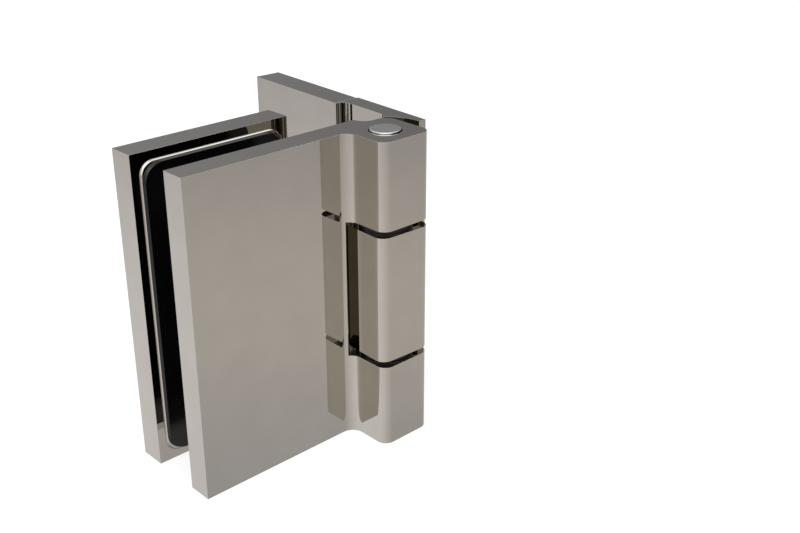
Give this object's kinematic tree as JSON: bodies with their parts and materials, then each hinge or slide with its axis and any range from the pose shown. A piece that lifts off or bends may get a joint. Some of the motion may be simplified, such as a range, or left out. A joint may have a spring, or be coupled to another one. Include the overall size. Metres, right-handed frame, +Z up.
{
  "type": "glass-to-wall hinge",
  "caption": "Polished glass-to-wall door hinge: clamping plates with black pads grip the glass, joined by a pin and knuckles to a wall leaf with a screw cover.",
  "frame": {"origin": "on the wall plane, at the middle one of the three wall screw holes, halfway up the leaf", "axes": "+Z up along the hinge pin, +X into the wall, +Y from the front plate towards the counter plate with the door closed"},
  "size_m": [0.0615, 0.0622, 0.0734],
  "materials": {
    "nickel": "mirror polished, warm nickel tone",
    "gasket_rubber": "glossy black",
    "screw_steel": "polished stainless steel",
    "pin_steel": "polished stainless steel",
    "spring_steel": "rolled spring steel",
    "sleeve_plastic": "translucent nylon",
    "bush_plastic": "black nylon"
  },
  "bodies": {
    "wall_side": {"wall_leaf": "nickel", "wall_cover": "nickel", "cover_clip_lower": "spring_steel", "cover_clip_upper": "spring_steel", "bush_lower": "bush_plastic", "bush_upper": "bush_plastic", "washer_lower": "bush_plastic", "washer_upper": "bush_plastic"},
    "door_side": {"front_plate": "nickel", "counter_plate": "nickel", "front_gasket": "gasket_rubber", "rear_gasket": "gasket_rubber", "clamp_screws": "screw_steel", "sleeve_lower": "sleeve_plastic", "sleeve_upper": "sleeve_plastic", "hinge_pin": "pin_steel", "pin_end_screw": "screw_steel", "pin_set_screws": "screw_steel"}
  },
  "joints": [
    {"name": "door_swing", "type": "hinge", "parent": "wall_side", "child": "door_side", "pos_m": [-0.0116, -0.0385, -0.0365], "axis": [0, 0, 1], "range_deg": [-2.64, 177.36]}
  ]
}
